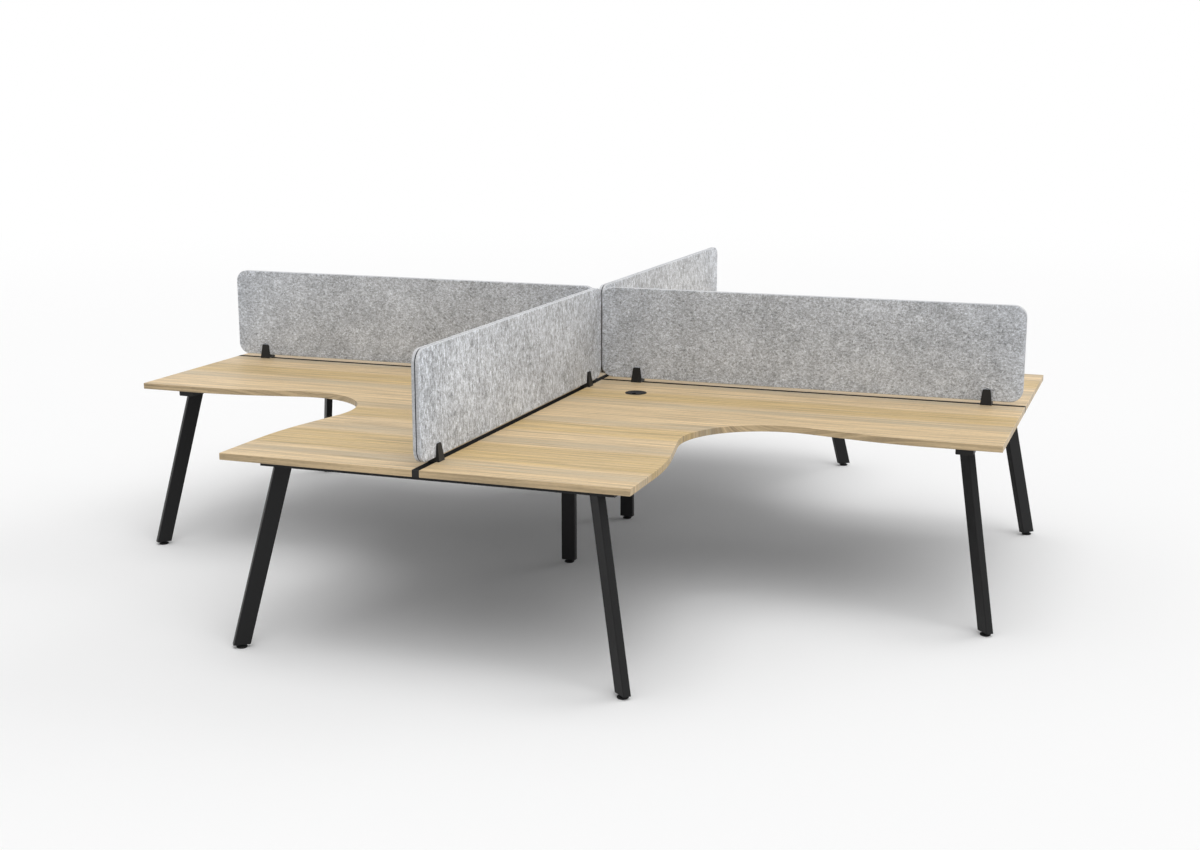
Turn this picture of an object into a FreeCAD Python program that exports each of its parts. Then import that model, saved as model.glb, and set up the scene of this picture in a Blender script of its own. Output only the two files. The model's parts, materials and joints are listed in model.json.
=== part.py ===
"""Cluster of four corner worktops in a cross, with felt screens on a shared steel underframe.

The origin is on the floor under the middle of the cluster, +X to the right, +Y to the back and +Z up.
Every arm of the cross is built pointing along +X and then turned about Z by quarter turns.
"""
import FreeCAD, Part
import math
import os
import types

import Sketcher

# Driving dimensions, in millimetres and degrees
SIZES = {
    # Worktops
    "top_height": 725.0,
    "top_thickness": 25.0,
    "side_length": 1800.0,
    "arm_depth": 750.0,
    "gap_width": 27.0,
    "shoulder_radius": 1500.0,
    "waist_length": 180.0,
    "waist_taper": 11.8,
    "cove_radius": 330.0,
    "top_edge_round": 1.5,
    # Filler rails in the gaps between the worktops
    "filler_clearance": 0.3,
    "filler_wall": 2.0,
    "filler_cap_thickness": 3.0,
    "filler_spigot_length": 12.0,
    # Felt screens
    "screen_end_inset": 12.0,
    "screen_centre_gap": 16.0,
    "screen_lift": 16.0,
    "screen_height": 390.0,
    "screen_corner": 50.0,
    "felt_thickness": 11.5,
    "felt_edge_round": 4.0,
    "felt_inner_chamfer": 0.8,
    "core_thickness": 4.0,
    "core_inset": 2.0,
    # Screen clips
    "clip_base_width": 46.0,
    "clip_top_width": 31.0,
    "clip_height": 63.0,
    "clip_jaw_base": 13.5,
    "clip_jaw_top": 4.5,
    "clip_corner": 5.0,
    "clip_edge_round": 1.0,
    "clip_clearance": 0.2,
    "clip_inner_place": 176.0,
    "clip_outer_inset": 153.5,
    # Cable grommets
    "grommet_place": 253.5,
    "grommet_hole_radius": 40.0,
    "grommet_flange_width": 5.0,
    "grommet_flange_height": 2.0,
    "grommet_flange_chamfer": 0.8,
    "grommet_liner_wall": 2.5,
    "grommet_liner_depth": 21.0,
    "grommet_clearance": 0.2,
    "grommet_ledge_width": 4.0,
    "grommet_ledge_thickness": 3.0,
    "cap_thickness": 5.0,
    "cap_clearance": 0.35,
    "cap_rise": 1.0,
    "cap_chamfer": 0.6,
    "cap_notch_width": 18.0,
    "cap_notch_depth": 20.0,
    # End frames
    "rail_inset": 147.0,
    "rail_end_inset": 93.5,
    "rail_width": 66.0,
    "rail_height": 40.0,
    "tube_wall": 2.5,
    "tube_corner": 4.0,
    "tube_inner_corner": 2.0,
    "plug_thickness": 2.0,
    "plug_spigot_length": 14.0,
    "plug_clearance": 0.2,
    # Splayed legs and centre posts
    "leg_depth": 60.0,
    "leg_width": 30.0,
    "leg_wall": 2.0,
    "leg_top_inset": 73.0,
    "foot_side_inset": 34.5,
    "foot_end_inset": 33.0,
    "leg_clearance": 13.0,
    "post_place": 377.0,
    # Leg inserts and levelling feet
    "insert_height": 32.0,
    "insert_clearance": 0.1,
    "foot_radius": 20.0,
    "foot_rim_height": 6.0,
    "foot_rim_chamfer": 1.5,
    "foot_shoulder_radius": 12.0,
    "foot_shoulder_height": 9.0,
    "foot_hex_radius": 9.5,
    "foot_gap": 1.0,
    "stem_radius": 5.0,
    "stem_length": 26.0,
    "stem_clearance": 0.06,
    # Beams
    "beam_width": 60.0,
    "beam_height": 40.0,
    "plate_margin": 26.0,
    "plate_thickness": 5.0,
    # Fixings
    "bolt_radius": 4.0,
    "bolt_clearance": 0.2,
    "bolt_head_radius": 7.5,
    "bolt_head_height": 5.3,
    "bolt_reach": 12.0,
    "bolt_margin": 12.0,
    "tab_length": 40.0,
    "tab_width": 30.0,
    "tab_thickness": 2.5,
    "tab_beam_near": 500.0,
    "tab_beam_inset": 483.5,
    "tab_rail_near": 150.0,
    "tab_rail_inset": 170.0,
    "screw_radius": 2.0,
    "screw_clearance": 0.2,
    "screw_bite": 16.0,
    "screw_head_radius": 4.5,
    "screw_head_height": 2.5,
}

# The four arms of the cross: name, quarter turns from +X, names of the sides at local +Y and -Y
ARMS = (
    ("right", 0, "back", "front"),
    ("back", 1, "left", "right"),
    ("left", 2, "front", "back"),
    ("front", 3, "right", "left"),
)
WORKTOPS = ("back_right", "back_left", "front_left", "front_right")

# How near a vertex has to be to a face's plane to count as lying on it
TOUCH = 0.01


class Size:
    """A length or angle: the expression that binds it to the sheet and its present value."""

    def __init__(self, text, value):
        self.text = text
        self.value = value

    def __add__(self, other):
        other = as_size(other)
        return Size(f"({self.text} + {other.text})", self.value + other.value)

    def __sub__(self, other):
        other = as_size(other)
        return Size(f"({self.text} - {other.text})", self.value - other.value)

    def __mul__(self, other):
        other = as_size(other)
        return Size(f"({self.text} * {other.text})", self.value * other.value)

    def __truediv__(self, other):
        other = as_size(other)
        return Size(f"({self.text} / {other.text})", self.value / other.value)

    def __neg__(self):
        return Size(f"(0 - {self.text})", -self.value)


def as_size(value):
    return value if isinstance(value, Size) else Size(str(value), float(value))


def hypotenuse(first, second):
    return Size(f"sqrt({first.text}^2 + {second.text}^2)", math.hypot(first.value, second.value))


doc = FreeCAD.newDocument("corner_workstation")
sheet = doc.addObject("Spreadsheet::Sheet", "Sizes")
for row, (alias, number) in enumerate(SIZES.items(), start=1):
    sheet.set(f"A{row}", alias)
    sheet.set(f"B{row}", str(number))
    sheet.setAlias(f"B{row}", alias)
doc.recompute()

size = types.SimpleNamespace()
for alias, number in SIZES.items():
    setattr(size, alias, Size(f"Sizes.{alias}", number))
ZERO = as_size(0)

# Places that several pieces share
half_gap = size.gap_width / 2
reach = half_gap + size.side_length
front_edge = half_gap + size.arm_depth
underside = size.top_height - size.top_thickness
rail_bottom = underside - size.rail_height
beam_bottom = underside - size.beam_height
rail_line = reach - size.rail_inset
rail_inner_face = rail_line - size.rail_width / 2
rail_end = front_edge - size.rail_end_inset
tab_reach = rail_inner_face - size.tab_width / 2
tab_rail_far = rail_end - size.tab_rail_inset
tab_beam_side = size.beam_width / 2 + size.tab_width / 2
tab_beam_far = rail_inner_face - size.tab_beam_inset
bolt_side = size.beam_width / 2 + size.bolt_margin
bolt_hole_radius = size.bolt_radius + size.bolt_clearance
screw_hole_radius = size.screw_radius + size.screw_clearance
screen_end = reach - size.screen_end_inset
screen_length = screen_end - size.screen_centre_gap
half_core = size.core_thickness / 2
ring_radius = size.grommet_hole_radius - size.grommet_clearance
ring_bore = ring_radius - size.grommet_liner_wall
cap_radius = ring_bore - size.cap_clearance
cap_bottom = size.grommet_flange_height + size.cap_rise - size.cap_thickness
foot_side = front_edge - size.foot_side_inset
foot_line = reach - size.foot_end_inset
leg_run_side = foot_side - (rail_end - size.leg_top_inset)
leg_run_out = foot_line - rail_line
leg_run = hypotenuse(leg_run_side, leg_run_out)
leg_rise = rail_bottom - size.leg_clearance
leg_stretch = hypotenuse(leg_run, leg_rise) / leg_rise

parts = []


# Document helpers

def plane(body, role):
    return next(feature for feature in body.Origin.OriginFeatures if feature.Role == role)


def new_body(name):
    body = doc.addObject("PartDesign::Body", name)
    body.Label = name
    return body


def attach(feature, body, role="XY_Plane", x=ZERO, y=ZERO, z=ZERO):
    """Put a sketch or primitive on one of its body's own planes; x, y and z are in that plane's frame."""
    feature.AttachmentSupport = (plane(body, role), "")
    feature.MapMode = "FlatFace"
    for axis, place in zip("xyz", (x, y, z)):
        feature.setExpression(f"AttachmentOffset.Base.{axis}", place.text)


def new_sketch(body, name, role="XY_Plane", x=ZERO, y=ZERO, z=ZERO):
    sketch = body.newObject("Sketcher::SketchObject", name)
    attach(sketch, body, role, x, y, z)
    return sketch


def extrude(body, sketch, length, symmetric=False, backwards=False):
    feature = body.newObject("PartDesign::Pad", sketch.Name + "Pad")
    feature.Profile = sketch
    feature.setExpression("Length", length.text)
    feature.SideType = "Symmetric" if symmetric else "One side"
    feature.Reversed = backwards
    body.Tip = feature
    return feature


def cut_away(body, sketch, length):
    """Remove what lies over an outline, to both sides of its plane."""
    feature = body.newObject("PartDesign::Pocket", sketch.Name + "Cut")
    feature.Profile = sketch
    feature.setExpression("Length", length.text)
    feature.SideType = "Symmetric"
    body.Tip = feature
    return feature


def revolve(body, sketch):
    feature = body.newObject("PartDesign::Revolution", sketch.Name + "Turn")
    feature.Profile = sketch
    feature.ReferenceAxis = (sketch, ["V_Axis"])
    feature.Angle = 360
    body.Tip = feature
    return feature


def primitive(body, kind, name, sizes, role="XY_Plane", x=ZERO, y=ZERO, z=ZERO):
    """An additive or subtractive box, cylinder or prism with its sizes bound to the sheet."""
    feature = body.newObject(f"PartDesign::{kind}", name)
    attach(feature, body, role, x, y, z)
    for prop, value in sizes.items():
        feature.setExpression(prop, value.text)
    body.Tip = feature
    return feature


def box(body, kind, name, low, high):
    sides = [top - bottom for bottom, top in zip(low, high)]
    sizes = dict(zip(("Length", "Width", "Height"), sides))
    return primitive(body, kind, name, sizes, x=low[0], y=low[1], z=low[2])


def edges_of(feature, wanted):
    """Names of the edges whose two ends both pass a test."""
    names = []
    for index, edge in enumerate(feature.Shape.Edges, start=1):
        if all(wanted(vertex.Point) for vertex in edge.Vertexes):
            names.append(f"Edge{index}")
    return names


def dress(body, kind, prop, amount, wanted):
    """Fillet or chamfer the edges of the body's tip that pass a test."""
    doc.recompute()
    base = body.Tip
    feature = body.newObject(f"PartDesign::{kind}", f"{base.Name}{kind}")
    feature.Base = (base, edges_of(base, wanted))
    feature.setExpression(prop, amount.text)
    body.Tip = feature


def stand(piece, turns, along=ZERO, across=ZERO, lift=ZERO, lean=None):
    """Place a piece on an arm: along the arm, across it, at a height, turned by quarter turns about Z."""
    x, y = ((along, across), (-across, along), (-along, -across), (across, -along))[turns]
    angle = as_size(90 * turns).text + " deg"
    if lean is not None:
        angle += f" + {lean}"
    piece.Placement = FreeCAD.Placement(FreeCAD.Vector(), FreeCAD.Rotation(FreeCAD.Vector(0, 0, 1), 1))
    for axis, place in zip("xyz", (x, y, lift)):
        piece.setExpression(f"Placement.Base.{axis}", place.text)
    piece.setExpression("Placement.Rotation.Angle", angle)


def keep(piece):
    parts.append(piece)


def keep_group(name, pieces):
    """Like pieces share one node as separate solids."""
    group = doc.addObject("Part::Compound", name)
    group.Label = name
    group.Links = pieces
    parts.append(group)


# Sketch helpers

def set_size(sketch, constraint, value):
    index = sketch.addConstraint(constraint)
    sketch.setExpression(f"Constraints[{index}]", value.text)


def locate(sketch, geometry, end, x, y):
    """Fix one point of the sketch at x, y from its origin."""
    for kind, axis, place in (("DistanceX", -2, x), ("DistanceY", -1, y)):
        if place is ZERO:
            sketch.addConstraint(Sketcher.Constraint("PointOnObject", geometry, end, axis))
        else:
            set_size(sketch, Sketcher.Constraint(kind, -1, 1, geometry, end, place.value), place)


def polygon(sketch, corners):
    """Closed straight-sided outline with every corner fixed."""
    first = sketch.GeometryCount
    count = len(corners)
    points = [FreeCAD.Vector(x.value, y.value, 0) for x, y in corners]
    for index in range(count):
        sketch.addGeometry(Part.LineSegment(points[index], points[(index + 1) % count]), False)
    for index in range(count):
        following = first + (index + 1) % count
        sketch.addConstraint(Sketcher.Constraint("Coincident", first + index, 2, following, 1))
    for index, (x, y) in enumerate(corners):
        locate(sketch, first + index, 1, x, y)


def rectangle(sketch, low, high):
    polygon(sketch, ((low[0], low[1]), (high[0], low[1]), (high[0], high[1]), (low[0], high[1])))


def arc(centre_x, centre_y, radius, start, end):
    circle = Part.Circle(FreeCAD.Vector(centre_x, centre_y, 0), FreeCAD.Vector(0, 0, 1), radius)
    return Part.ArcOfCircle(circle, math.radians(start), math.radians(end))


def rounded_rectangle(sketch, width, height, radius):
    """Rectangle with round corners, centred on the sketch's origin."""
    first = sketch.GeometryCount
    r = radius.value
    a = width.value / 2
    b = height.value / 2
    ends = (
        ((r - a, -b), (a - r, -b)),
        ((a, r - b), (a, b - r)),
        ((a - r, b), (r - a, b)),
        ((-a, b - r), (-a, r - b)),
    )
    centres = ((a - r, r - b), (a - r, b - r), (r - a, b - r), (r - a, r - b))
    for side in range(4):
        start, stop = ends[side]
        sketch.addGeometry(Part.LineSegment(FreeCAD.Vector(*start, 0), FreeCAD.Vector(*stop, 0)), False)
        sketch.addGeometry(arc(*centres[side], r, 90 * side - 90, 90 * side), False)
    for side in range(4):
        line = first + 2 * side
        corner = line + 1
        next_line = first + 2 * ((side + 1) % 4)
        sketch.addConstraint(Sketcher.Constraint("Tangent", line, 2, corner, 1))
        sketch.addConstraint(Sketcher.Constraint("Tangent", corner, 2, next_line, 1))
        sketch.addConstraint(Sketcher.Constraint("Horizontal" if side % 2 == 0 else "Vertical", line))
        if side:
            sketch.addConstraint(Sketcher.Constraint("Equal", first + 1, corner))
    low_corner = first + 7
    high_corner = first + 3
    sketch.addConstraint(Sketcher.Constraint("Symmetric", low_corner, 3, high_corner, 3, -1, 1))
    set_size(sketch, Sketcher.Constraint("Radius", first + 1, r), radius)
    for kind, side in (("DistanceX", width), ("DistanceY", height)):
        between = side - radius * 2
        distance = Sketcher.Constraint(kind, low_corner, 3, high_corner, 3, between.value)
        set_size(sketch, distance, between)


def tube_section(sketch, width, height, wall):
    rounded_rectangle(sketch, width, height, size.tube_corner)
    rounded_rectangle(sketch, width - wall * 2, height - wall * 2, size.tube_inner_corner)


# Worktops

def worktop_outline(sketch):
    """L with a straight shoulder at each end, a tapering waist and a round cove for the sitter."""
    degrees = size.waist_taper.value
    taper = math.radians(degrees)
    sine = math.sin(taper)
    cosine = math.cos(taper)
    near = half_gap.value
    far = reach.value
    edge = front_edge.value
    bend = size.shoulder_radius.value
    waist = size.waist_length.value
    cove = size.cove_radius.value
    bend_end_y = edge - bend * (1 - cosine)
    cove_start_y = bend_end_y - waist * sine
    centre = cove_start_y + cove * cosine
    cove_start_x = centre + cove * sine
    bend_end_x = cove_start_x + waist * cosine
    shoulder = bend_end_x + bend * sine

    def straight(x1, y1, x2, y2):
        line = Part.LineSegment(FreeCAD.Vector(x1, y1, 0), FreeCAD.Vector(x2, y2, 0))
        return sketch.addGeometry(line, False)

    def curved(*arc_sizes):
        return sketch.addGeometry(arc(*arc_sizes), False)

    back_x = straight(near, near, far, near)
    end_x = straight(far, near, far, edge)
    straight_x = straight(far, edge, shoulder, edge)
    bend_x = curved(shoulder, edge - bend, bend, 90, 90 + degrees)
    waist_x = straight(cove_start_x, cove_start_y, bend_end_x, bend_end_y)
    cove_arc = curved(centre, centre, cove, 180 - degrees, 270 + degrees)
    waist_y = straight(cove_start_y, cove_start_x, bend_end_y, bend_end_x)
    bend_y = curved(edge - bend, shoulder, bend, -degrees, 0)
    straight_y = straight(edge, shoulder, edge, far)
    end_y = straight(edge, far, near, far)
    back_y = straight(near, far, near, near)
    sharp = ((back_x, end_x), (end_x, straight_x), (straight_y, end_y), (end_y, back_y), (back_y, back_x))
    for before, after in sharp:
        sketch.addConstraint(Sketcher.Constraint("Coincident", before, 2, after, 1))
    smooth = ((straight_x, 2, bend_x, 1), (bend_x, 2, waist_x, 2), (waist_x, 1, cove_arc, 2),
              (cove_arc, 1, waist_y, 1), (waist_y, 2, bend_y, 1), (bend_y, 2, straight_y, 1))
    for ends in smooth:
        sketch.addConstraint(Sketcher.Constraint("Tangent", *ends))
    for line in (back_x, straight_x, end_y):
        sketch.addConstraint(Sketcher.Constraint("Horizontal", line))
    for line in (end_x, straight_y, back_y):
        sketch.addConstraint(Sketcher.Constraint("Vertical", line))
    locate(sketch, back_x, 1, half_gap, half_gap)
    lengths = ((back_x, size.side_length), (back_y, size.side_length), (end_x, size.arm_depth),
               (end_y, size.arm_depth), (waist_x, size.waist_length), (waist_y, size.waist_length))
    for line, length in lengths:
        set_size(sketch, Sketcher.Constraint("Distance", line, length.value), length)
    radii = ((bend_x, size.shoulder_radius), (bend_y, size.shoulder_radius), (cove_arc, size.cove_radius))
    for curve, radius in radii:
        set_size(sketch, Sketcher.Constraint("Radius", curve, radius.value), radius)
    degree = Size("1 deg", math.radians(1))
    for line, angle in ((waist_x, size.waist_taper), (waist_y, as_size(90) - size.waist_taper)):
        angle = angle * degree
        set_size(sketch, Sketcher.Constraint("Angle", line, angle.value), angle)


def screw_places():
    """Where the fixing tabs lie under one worktop, in that worktop's own quadrant."""
    on_one_arm = [
        (size.tab_beam_near, tab_beam_side),
        (tab_beam_far, tab_beam_side),
        (tab_reach, size.tab_rail_near),
        (tab_reach, tab_rail_far),
    ]
    return on_one_arm + [(y, x) for x, y in on_one_arm]


def worktop(name, turns):
    body = new_body(f"worktop_{name}")
    outline = new_sketch(body, "WorktopOutline")
    worktop_outline(outline)
    extrude(body, outline, size.top_thickness)
    upper = size.top_thickness.value - TOUCH
    dress(body, "Fillet", "Radius", size.top_edge_round, lambda point: point.z > upper)
    dress(body, "Fillet", "Radius", size.top_edge_round, lambda point: point.z < TOUCH)
    hole = {"Radius": size.grommet_hole_radius, "Height": size.top_thickness}
    primitive(body, "SubtractiveCylinder", "CableHole", hole, x=size.grommet_place, y=size.grommet_place)
    pilot = {"Radius": screw_hole_radius, "Height": size.screw_bite + size.screw_clearance}
    for x, y in screw_places():
        primitive(body, "SubtractiveCylinder", "PilotHole", pilot, x=x, y=y)
    stand(body, turns, lift=underside)
    keep(body)


# Filler rails and their end caps

def filler_section(inset):
    half_width = half_gap - size.filler_clearance - inset
    return (-half_width, inset), (half_width, size.top_thickness - inset)


def filler_rail(name, turns, start):
    body = new_body(f"filler_rail_{name}")
    section = new_sketch(body, "FillerSection", "YZ_Plane", z=start)
    rectangle(section, *filler_section(ZERO))
    rectangle(section, *filler_section(size.filler_wall))
    extrude(body, section, reach - size.filler_cap_thickness - start)
    stand(body, turns, lift=underside)
    keep(body)


def filler_cap(name, turns):
    body = new_body(f"filler_cap_{name}")
    face = new_sketch(body, "CapFace", "YZ_Plane", z=reach - size.filler_cap_thickness)
    rectangle(face, *filler_section(ZERO))
    extrude(body, face, size.filler_cap_thickness)
    spigot = new_sketch(body, "CapSpigot", "YZ_Plane", z=reach - size.filler_cap_thickness)
    rectangle(spigot, *filler_section(size.filler_wall + size.filler_clearance))
    extrude(body, spigot, size.filler_spigot_length, backwards=True)
    stand(body, turns, lift=underside)
    return body


# Felt screens and their clips

def screen_outline(body, name, inset, start=ZERO):
    """Outline of a screen drawn in by an inset, in the plane that lies start away from the screen's middle."""
    outline = new_sketch(body, name, "XZ_Plane", x=size.screen_centre_gap + screen_length / 2,
                         y=size.screen_height / 2, z=start)
    rounded_rectangle(outline, screen_length - inset * 2, size.screen_height - inset * 2,
                      size.screen_corner - inset)
    return outline


def screen_core(arm, turns):
    """Thin board between the felt layers, set back from their edges."""
    body = new_body(f"core_{arm}")
    extrude(body, screen_outline(body, "CoreOutline", size.core_inset), size.core_thickness, symmetric=True)
    stand(body, turns, lift=size.top_height + size.screen_lift)
    return body


def felt_panel(arm, turns, face, side):
    """One of the two felt layers of a screen, on the arm's +Y side or its -Y side."""
    body = new_body(f"screen_{arm}_felt_{face}")
    start = -half_core if side > 0 else half_core
    extrude(body, screen_outline(body, "FeltOutline", ZERO, start), size.felt_thickness, backwards=side > 0)
    outer = (half_core + size.felt_thickness).value - TOUCH
    inner = half_core.value + TOUCH
    dress(body, "Fillet", "Radius", size.felt_edge_round, lambda point: abs(point.y) > outer)
    dress(body, "Chamfer", "Size", size.felt_inner_chamfer, lambda point: abs(point.y) < inner)
    stand(body, turns, lift=size.top_height + size.screen_lift)
    keep(body)


def screen_clip(name, turns, place):
    """U-shaped clip whose two wedge jaws hold the screen's lower edge and stand on the worktops."""
    body = new_body(name)
    throat = half_core + size.felt_thickness + size.clip_clearance
    foot = size.clip_base_width / 2
    head = size.clip_top_width / 2
    outline = new_sketch(body, "ClipOutline", "XZ_Plane", x=place)
    polygon(outline, ((-foot, ZERO), (foot, ZERO), (head, size.clip_height), (-head, size.clip_height)))
    base = throat + size.clip_jaw_base
    top = throat + size.clip_jaw_top
    extrude(body, outline, base * 2, symmetric=True)
    flanks = new_sketch(body, "ClipFlanks", "YZ_Plane", z=place)
    polygon(flanks, ((base, ZERO), (base, size.clip_height), (top, size.clip_height)))
    polygon(flanks, ((-base, ZERO), (-top, size.clip_height), (-base, size.clip_height)))
    cut_away(body, flanks, size.clip_base_width)
    height = size.clip_height.value
    middle = place.value
    upper = height - TOUCH
    dress(body, "Fillet", "Radius", size.clip_corner, lambda point: point.z > upper and point.x < middle)
    dress(body, "Fillet", "Radius", size.clip_corner, lambda point: point.z > upper and point.x > middle)

    def on_flank(point):
        across = base.value + (top.value - base.value) * point.z / height
        return abs(point.y) > across - TOUCH

    dress(body, "Fillet", "Radius", size.clip_edge_round, lambda point: on_flank(point) and point.y > 0)
    dress(body, "Fillet", "Radius", size.clip_edge_round, lambda point: on_flank(point) and point.y < 0)
    box(body, "SubtractiveBox", "Throat", (place - foot, -throat, size.screen_lift),
        (place + foot, throat, size.clip_height))
    stand(body, turns, lift=size.top_height)
    return body


# Cable grommets

def grommet_ring(name, turns):
    body = new_body(f"grommet_ring_{name}")
    profile = new_sketch(body, "RingProfile", "XZ_Plane")
    rim = size.grommet_hole_radius + size.grommet_flange_width
    ledge = ring_bore - size.grommet_ledge_width
    seat = cap_bottom - size.cap_clearance
    polygon(profile, (
        (ring_bore, size.grommet_flange_height),
        (rim - size.grommet_flange_chamfer, size.grommet_flange_height),
        (rim, size.grommet_flange_height - size.grommet_flange_chamfer),
        (rim, ZERO),
        (ring_radius, ZERO),
        (ring_radius, -size.grommet_liner_depth),
        (ring_bore, -size.grommet_liner_depth),
        (ring_bore, seat - size.grommet_ledge_thickness),
        (ledge, seat - size.grommet_ledge_thickness),
        (ledge, seat),
        (ring_bore, seat),
    ))
    revolve(body, profile)
    stand(body, turns, size.grommet_place, size.grommet_place, size.top_height)
    keep(body)


def grommet_cap(name, turns):
    """Round cover with a notch at its rim for the cables."""
    body = new_body(f"grommet_cap_{name}")
    disc = {"Radius": cap_radius, "Height": size.cap_thickness}
    primitive(body, "AdditiveCylinder", "CapDisc", disc, z=cap_bottom)
    upper = (cap_bottom + size.cap_thickness).value - TOUCH
    dress(body, "Chamfer", "Size", size.cap_chamfer, lambda point: point.z > upper)
    notch_round = size.cap_notch_width / 2
    notch_centre = cap_radius - size.cap_notch_depth + notch_round
    end = {"Radius": notch_round, "Height": size.cap_thickness}
    primitive(body, "SubtractiveCylinder", "NotchEnd", end, x=notch_centre, z=cap_bottom)
    box(body, "SubtractiveBox", "NotchMouth", (notch_centre, -notch_round, cap_bottom),
        (cap_radius + size.cap_clearance, notch_round, cap_bottom + size.cap_thickness))
    stand(body, turns, size.grommet_place, size.grommet_place, size.top_height)
    keep(body)


# End frames

def end_rail(name, turns):
    """Cross rail of one end frame, with tabs for the worktop screws and holes for the beam's bolts."""
    body = new_body(f"end_rail_{name}")
    section = new_sketch(body, "RailSection", "XZ_Plane", x=rail_line, y=-size.rail_height / 2)
    tube_section(section, size.rail_width, size.rail_height, size.tube_wall)
    extrude(body, section, (rail_end - size.plug_thickness) * 2, symmetric=True)
    half_tab = size.tab_length / 2
    tab_end = rail_inner_face - size.tab_width
    hole = {"Radius": screw_hole_radius, "Height": size.tab_thickness}
    for side in (size.tab_rail_near, tab_rail_far, -size.tab_rail_near, -tab_rail_far):
        box(body, "AdditiveBox", "Tab", (tab_end, side - half_tab, -size.tab_thickness),
            (rail_line, side + half_tab, ZERO))
        primitive(body, "SubtractiveCylinder", "TabHole", hole, x=tab_reach, y=side, z=-size.tab_thickness)
    for side in (bolt_side, -bolt_side):
        bolt_hole(body, side, rail_inner_face, size.tube_wall)
    stand(body, turns, lift=underside)
    keep(body)


def bolt_hole(body, side, start, depth):
    """Hole along X through a wall that starts at start, at the beam's mid height."""
    sizes = {"Radius": bolt_hole_radius, "Height": depth}
    middle = -size.beam_height / 2
    primitive(body, "SubtractiveCylinder", "BoltHole", sizes, "YZ_Plane", side, middle, start)


def rail_plug(name, turns, side):
    """Cap pressed into one end of an end rail."""
    body = new_body(name)
    place = {"x": rail_line, "y": -size.rail_height / 2}
    tube_end = rail_end - size.plug_thickness
    outward = -tube_end if side > 0 else tube_end
    face = new_sketch(body, "PlugFace", "XZ_Plane", z=outward, **place)
    rounded_rectangle(face, size.rail_width, size.rail_height, size.tube_corner)
    extrude(body, face, size.plug_thickness, backwards=side > 0)
    inset = (size.tube_wall + size.plug_clearance) * 2
    spigot = new_sketch(body, "PlugSpigot", "XZ_Plane", z=outward, **place)
    rounded_rectangle(spigot, size.rail_width - inset, size.rail_height - inset, size.tube_inner_corner)
    extrude(body, spigot, size.plug_spigot_length, backwards=side < 0)
    stand(body, turns, lift=underside)
    return body


# Legs, posts and feet

def lean_towards_centre(feature):
    """Make a pad of a level sketch follow the leg's slope, so that both its ends are level."""
    feature.UseCustomVector = True
    feature.AlongSketchNormal = True
    feature.setExpression("Direction.x", (-leg_run).text)
    feature.setExpression("Direction.y", ZERO.text)
    feature.setExpression("Direction.z", leg_rise.text)


def splay(side):
    """Plan angle of a leg's wide face from its arm, towards the arm's +Y or -Y side."""
    sign = "" if side > 0 else "-"
    return f"({sign}1) * atan2({leg_run_side.text}, {leg_run_out.text})"


def splayed_leg(name, turns, side):
    body = new_body(name)
    section = new_sketch(body, "LegSection")
    tube_section(section, size.leg_depth * leg_stretch, size.leg_width, size.leg_wall)
    lean_towards_centre(extrude(body, section, leg_rise))
    stand(body, turns, foot_line, foot_side * side, size.leg_clearance, splay(side))
    keep(body)


def centre_post(name, turns):
    body = new_body(name)
    section = new_sketch(body, "PostSection")
    tube_section(section, size.leg_width, size.leg_depth, size.leg_wall)
    extrude(body, section, beam_bottom - size.leg_clearance)
    stand(body, turns, size.post_place, ZERO, size.leg_clearance)
    keep(body)


def leg_insert(name, turns, along, across, side):
    """Block in the lower end of a leg or post with an upright threaded hole for the foot's stem."""
    body = new_body(name)
    section = new_sketch(body, "InsertSection")
    inset = (size.leg_wall + size.insert_clearance) * 2
    if side:
        width = size.leg_depth * leg_stretch - inset
        rounded_rectangle(section, width, size.leg_width - inset, size.tube_inner_corner)
        lean_towards_centre(extrude(body, section, size.insert_height))
    else:
        width = size.leg_width - inset
        rounded_rectangle(section, width, size.leg_depth - inset, size.tube_inner_corner)
        extrude(body, section, size.insert_height)
    thread = {"Radius": size.stem_radius + size.stem_clearance, "Height": size.insert_height}
    primitive(body, "SubtractiveCylinder", "Thread", thread)
    stand(body, turns, along, across, size.leg_clearance, splay(side) if side else None)
    return body


def levelling_foot(name, turns, along, across):
    body = new_body(name)
    profile = new_sketch(body, "FootProfile", "XZ_Plane")
    stem_top = size.leg_clearance + size.stem_length
    polygon(profile, (
        (ZERO, ZERO),
        (size.foot_radius - size.foot_rim_chamfer, ZERO),
        (size.foot_radius, size.foot_rim_chamfer),
        (size.foot_radius, size.foot_rim_height),
        (size.foot_shoulder_radius, size.foot_shoulder_height),
        (size.stem_radius, size.foot_shoulder_height),
        (size.stem_radius, stem_top),
        (ZERO, stem_top),
    ))
    revolve(body, profile)
    hex_height = size.leg_clearance - size.foot_shoulder_height - size.foot_gap
    hexagon = {"Circumradius": size.foot_hex_radius, "Height": hex_height}
    collar = primitive(body, "AdditivePrism", "HexCollar", hexagon, z=size.foot_shoulder_height)
    collar.Polygon = 6
    stand(body, turns, along, across)
    keep(body)


# Beams

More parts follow.
